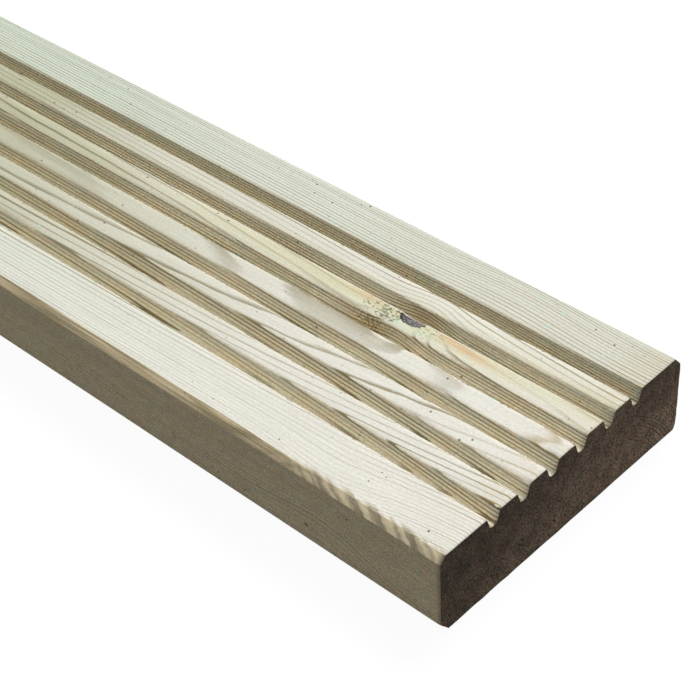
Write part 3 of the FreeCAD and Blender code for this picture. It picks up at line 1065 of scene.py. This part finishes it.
def worked(bench, grain, wood):
    """Timber with the marks of its working.

    The bevels are paler, with streaks along them, or bars across them where the rings bulge, and there the
    bars reach onto the face's near edge as teeth of painted shade, standing in for an arris worn in waves.
    The ribs' far lips carry a faint painted highlight, with torn flecks. The sides are blotched, and paler
    towards the bottom in painted light from the floor; the walls are paler, and both are gritty, in warm
    and cool patches. Dark spots lie on the near side.
    """
    bevel, bands, lip = bench.field("bevel"), banded(bench), bench.field("far_lip")
    walls, side = groove_walls(bench), plain_sides(bench)
    barred = bench.both(bevel, bands)
    streaks = bench.blobs(BEVEL_STREAKS, *STREAK_EDGES)
    wood = bench.grain(wood, streaks, by=0.3, mask=bench.change(bevel, bands, by=-0.85))
    bars = bench.step(bench.bars(direction=(1.0, 1.5, 0.66), length=4.8, shake=4.0), *STREAK_EDGES)
    wood = bench.grain(wood, bars, by=-0.35, mask=barred)
    # Painted shade: the bars reach the face's near edge as dark teeth, for an arris worn in waves
    arris = bench.both(walking_face(bench), bench.step(bench.along(1), *NEAR_ARRIS))
    wood = bench.tint(wood, bench.both(bars, bench.both(arris, bands)), TEETH_SHADE_TINT)
    # Painted highlight: the ribs' far lips face the light and are made a little paler
    wood = bench.lift(wood, lip, by=0.06)
    wood = bench.tint(wood, bevel, BEVEL_TINT)
    wood = bench.tint(wood, barred, BANDED_TINT)

    wood = bench.grain(wood, bench.cloud(SIDE_BLOTCHES, detail=4.0), by=0.26, mask=side)
    wood = bench.tint(wood, side, SIDE_TINT)
    # Painted light: the sides paler towards the bottom, for light thrown up from the floor
    wood = bench.lift(wood, bench.both(side, bench.step(bench.along(2), *FLOOR_LIT_SIDE)), by=0.21)
    wood = bench.lift(wood, walls, by=0.18)
    wood = bench.grain(wood, bench.cloud(SIDE_GRIT), by=0.8, mask=side)
    wood = bench.grain(wood, bench.cloud(WALL_GRIT), by=0.4, mask=walls)
    hues = bench.hues(SIDE_HUES, SIDE_WARM, SIDE_COOL, detail=3.0)
    wood = bench.tint(wood, bench.math("MAXIMUM", side, walls), hues)
    for blot in BLOTS:
        halves = (blot.half_length, SPOT_DEPTH, blot.half_height)
        spot = bench.oval((blot.along, LOW[1], blot.up), 0.0, halves)
        wood = bench.paint(wood, spot, strength=blot.strength, tint=grain.torn)
    flecks = bench.both(lip, bench.blobs(LIP_TEARS, low=0.58, high=0.64))
    return bench.paint(wood, flecks, strength=0.8, tint=grain.torn)


def planed_softwood(grain):
    """Planed grain: rings, fibres, weather, marks of working, knots with their resin, pits and crystals of
    preservative. The face colours are bleached and painted paler for the glare on the lit top. The ribs'
    near lips take less of them, a painted shade in waves that follow the rings. The last stretch before a
    sawn end is warmer, and its rim is stained."""
    bench = Bench(bpy.data.materials.new("planed_softwood"))
    age, ring = weather(bench), ring_tone(bench, SKIN_RIPPLE)
    tone = skin_tone(bench, ring, age)
    # Painted shade on the ribs' near lips, in waves that follow the rings, with a warmer tint
    lips, waves = near_lips(bench), bench.scaled(bench.cloud(LIP_WAVES), by=1.2, plus=-0.6)
    waves = bench.scaled(ring, by=0.55, plus=waves)
    pale = bench.math("SUBTRACT", bench.field("bleach_and_glare"), bench.both(lips, waves))
    # The face colours are the raw ones bleached and painted paler for glare; pale says how far they show
    early = bench.blend(pale, grain.raw_early, grain.face_early)
    late = bench.blend(pale, grain.raw_late, grain.face_late)
    wood = bench.blend(tone, early, late)
    wood = bench.tint(wood, lips, LIP_TINT)
    last = bench.both(walking_face(bench), bench.step(from_end(bench), *WARM_STRETCH))
    wood = bench.tint(wood, bench.both(last, tone), LAST_RINGS_TINT)
    wood = bench.tint(wood, bench.both(last, bench.step(bench.along(1), *PAST_NEAR_MARGIN)), LAST_RIBS_TINT)
    fibre = bench.cloud(FIBRES, detail=3.0)
    wood = bench.grain(wood, fibre, by=0.21)
    wood = bench.grain(wood, bench.cloud(FACE_GRIT, detail=3.0), by=0.26)
    wood = bench.product(wood, bench.hues(FACE_HUES, FACE_WARM, FACE_COOL))
    wood = weathered(bench, grain, wood, age)
    wood = worked(bench, grain, wood)
    wood = knotted(bench, grain, wood)

    pits = bench.spots(gap=3.1, radius=0.5, chosen=0.12)
    pits = bench.math("MAXIMUM", pits, bench.spots(gap=1.9, radius=0.3, chosen=0.08))
    wood = bench.paint(wood, pits, strength=0.9, tint=grain.bark)
    crusted = bench.scaled(bench.step(bench.along(1), *FAR_MARGIN), by=0.3, plus=0.06)
    crystals = bench.spots(gap=3.4, radius=0.7, chosen=crusted)
    wood = bench.paint(wood, crystals, strength=0.62, tint=grain.crystal)
    stain = bench.both(bench.step(from_end(bench), *STAINED_RIM), below_face(bench, start=0.6, full=0.2))
    wood = bench.paint(wood, stain, strength=0.8, tint=grain.end_early)
    relief = bench.scaled(tone, by=0.5, plus=bench.both(pits, -1.5))
    relief = bench.scaled(fibre, by=0.6, plus=relief)
    roughness = bench.scaled(tone, by=-0.12, plus=0.78)
    return bench.surface(wood, roughness, gloss=0.3, relief=relief, strength=0.5, depth=0.08 * MM)


def sawn_end_grain(grain):
    """Rough sawn end grain, dark with preservative: torn fibres in blotches, in warm and cool patches,
    darker towards the near top and at the far top, with flecks of two sizes, pits and drying cracks. The
    rings are faint, apart from the far low corner."""
    bench = Bench(bpy.data.materials.new("sawn_end_grain"))
    across, up = bench.along(1), bench.along(2)
    tone = ring_tone(bench, END_RIPPLE)
    wood = bench.blend(bench.both(tone, 0.7), grain.end_early, grain.end_late)
    corner = bench.both(bench.step(across, *FAR_CORNER), bench.step(up, *LOW_CORNER))
    wood = bench.grain(wood, bench.step(tone, start=0.05, full=0.45), by=-0.5, mask=corner)
    wood = bench.lift(wood, corner, by=-0.12)
    torn = bench.cloud(END_FIBRES, detail=4.0)
    wood = bench.grain(wood, bench.step(torn, start=0.3, full=0.7), by=0.66)
    wood = bench.grain(wood, bench.blobs(END_BLOTCHES, low=0.32, high=0.68, detail=4.0), by=0.28)
    paler = bench.step(bench.scaled(up, END_LEAN, across), *END_PALER)
    wood = bench.shade(wood, bench.scaled(paler, by=0.75, plus=0.52))
    top = bench.step(up, *TOP_OF_END)
    wood = bench.lift(wood, top, by=-0.12)
    wood = bench.lift(wood, bench.both(top, bench.step(across, *FAR_TOP)), by=-0.32)
    wood = bench.product(wood, bench.hues(END_HUES, END_WARM, END_COOL))
    close_flecks = bench.spots(gap=1.7, radius=0.36, chosen=0.3)
    wood = bench.paint(wood, close_flecks, strength=0.42, tint=grain.raw_early)
    bright_flecks = bench.spots(gap=4.0, radius=0.34, chosen=0.4)
    wood = bench.paint(wood, bright_flecks, strength=0.5, tint=grain.face_early)
    depth = bench.both(bench.spots(gap=2.2, radius=0.55, chosen=0.35), 0.8)
    for check in CHECKS:
        halves = (SPOT_DEPTH, check.half_length, CHECK_HALF_WIDTH)
        crack = bench.oval((HIGH[0], check.across, check.up), check.slope, halves)
        depth = bench.math("MAXIMUM", depth, crack)
    wood = bench.blend(depth, wood, grain.bark)
    relief = bench.math("SUBTRACT", torn, depth)
    return bench.surface(wood, roughness=0.9, gloss=0.2, relief=relief, strength=0.8, depth=0.3 * MM)


def seen_share(bench):
    """1 for what the camera sees straight, in a gloss or through glass, and 0 for light on other things."""
    path = bench.node("ShaderNodeLightPath", {}).outputs
    beyond = bench.math("MAXIMUM", path["Is Glossy Ray"], path["Is Transmission Ray"])
    return bench.math("MAXIMUM", path["Is Camera Ray"], beyond)


def studio_floor(stage):
    """A pale floor: a share of its look is even white, the rest takes the light and the board's shadow, and
    it throws back less light than it shows."""
    bench = Bench(bpy.data.materials.new("studio_floor"))
    seen = seen_share(bench)
    look = bench.blend(seen, (stage.floor_bounce,) * 3, (stage.floor_pale,) * 3)
    matte = bench.node("ShaderNodeBsdfDiffuse", {"Color": look})
    white = bench.node("ShaderNodeEmission", {"Color": rgba(WHITE), "Strength": FLOOR_WHITE})
    inputs = {0: bench.both(seen, stage.floor_glow), 1: matte.outputs[0], 2: white.outputs[0]}
    mixed = bench.node("ShaderNodeMixShader", inputs)
    bench.put(bench.tree.nodes["Material Output"].inputs["Surface"], mixed.outputs[0])
    bench.tree.nodes.remove(bench.tree.nodes["Principled BSDF"])
    return bench.owner


def studio_world(stage):
    """Even light from all round, which itself looks white."""
    bench = Bench(bpy.data.worlds.new("studio_world"))
    inputs = {"Value": seen_share(bench), "To Min": stage.fill_light, "To Max": 1.0}
    strength = bench.node("ShaderNodeMapRange", inputs).outputs[0]
    background = bench.tree.nodes["Background"].inputs
    bench.put(background["Color"], rgba(WHITE))
    bench.put(background["Strength"], strength)
    return bench.owner


class DECKING_OT_timber(bpy.types.Operator):
    """Carry the grooved section along the board's length and give it its planed and sawn finishes"""

    bl_idname = "decking.timber"
    bl_label = "Build the board"

    def execute(self, context):
        section, grain = context.scene.decking_section, context.scene.decking_grain
        mesh = BoardShape(section, grain).mesh(PIECE)
        mesh.materials.append(planed_softwood(grain))
        mesh.materials.append(sawn_end_grain(grain))
        board = bpy.data.objects.new(PIECE, mesh)
        context.scene.collection.objects.link(board)
        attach(board, "root")
        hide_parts(NODE)
        return {"FINISHED"}


class DECKING_OT_stage(bpy.types.Operator):
    """Lay the pale floor, hang the soft light and stand the camera"""

    bl_idname = "decking.stage"
    bl_label = "Set the stage"

    def execute(self, context):
        scene, stage = context.scene, context.scene.decking_stage
        half = stage.floor_half
        mesh = bpy.data.meshes.new("floor")
        corners = [(-half, -half, 0.0), (half, -half, 0.0), (half, half, 0.0), (-half, half, 0.0)]
        mesh.from_pydata(corners, [], [(0, 1, 2, 3)])
        mesh.materials.append(studio_floor(stage))
        floor = bpy.data.objects.new("floor", mesh)
        scene.collection.objects.link(floor)

        lamp = bpy.data.lights.new("key_light", "SUN")
        lamp.energy = stage.key_light
        lamp.angle = stage.key_angle
        key = bpy.data.objects.new("key_light", lamp)
        key.rotation_mode = "QUATERNION"
        key.rotation_quaternion = (-Vector(stage.key_from)).to_track_quat("-Z", "Y")
        scene.collection.objects.link(key)
        scene.world = studio_world(stage)

        camera = bpy.data.objects.new("camera", bpy.data.cameras.new("camera"))
        camera.data.lens = stage.lens
        camera.data.clip_start = NEAREST_SEEN
        camera.location = stage.eye
        camera.rotation_mode = "QUATERNION"
        sight = (Vector(stage.aim) - Vector(stage.eye)).to_track_quat("-Z", "Y")
        camera.rotation_quaternion = sight @ Quaternion((0.0, 0.0, 1.0), stage.roll)
        scene.collection.objects.link(camera)
        scene.camera = camera
        scene.view_settings.view_transform = "Standard"
        return {"FINISHED"}


class DECKING_PT_panel(bpy.types.Panel):
    """Lists the board's sizes, its timber and its stage"""

    bl_label = "Decking board"
    bl_space_type = "VIEW_3D"
    bl_region_type = "UI"
    bl_category = "Decking"

    def draw(self, context):
        for operator, groups in (("decking.timber", ("decking_section", "decking_grain")),
                                 ("decking.stage", ("decking_stage",))):
            self.layout.operator(operator)
            for name in groups:
                group = getattr(context.scene, name)
                for field in group.__annotations__:
                    self.layout.prop(group, field)


CLASSES = (BoardSection, BoardGrain, StudioStage, DECKING_OT_timber, DECKING_OT_stage, DECKING_PT_panel)
GROUPS = {"decking_section": BoardSection, "decking_grain": BoardGrain, "decking_stage": StudioStage}


def register():
    for kind in CLASSES:
        bpy.utils.register_class(kind)
    for name, group in GROUPS.items():
        setattr(bpy.types.Scene, name, bpy.props.PointerProperty(type=group))


def unregister():
    for name in GROUPS:
        delattr(bpy.types.Scene, name)
    for kind in reversed(CLASSES):
        bpy.utils.unregister_class(kind)


def main():
    register()
    bpy.ops.decking.timber()
    bpy.ops.decking.stage()


if __name__ == "__main__":
    main()
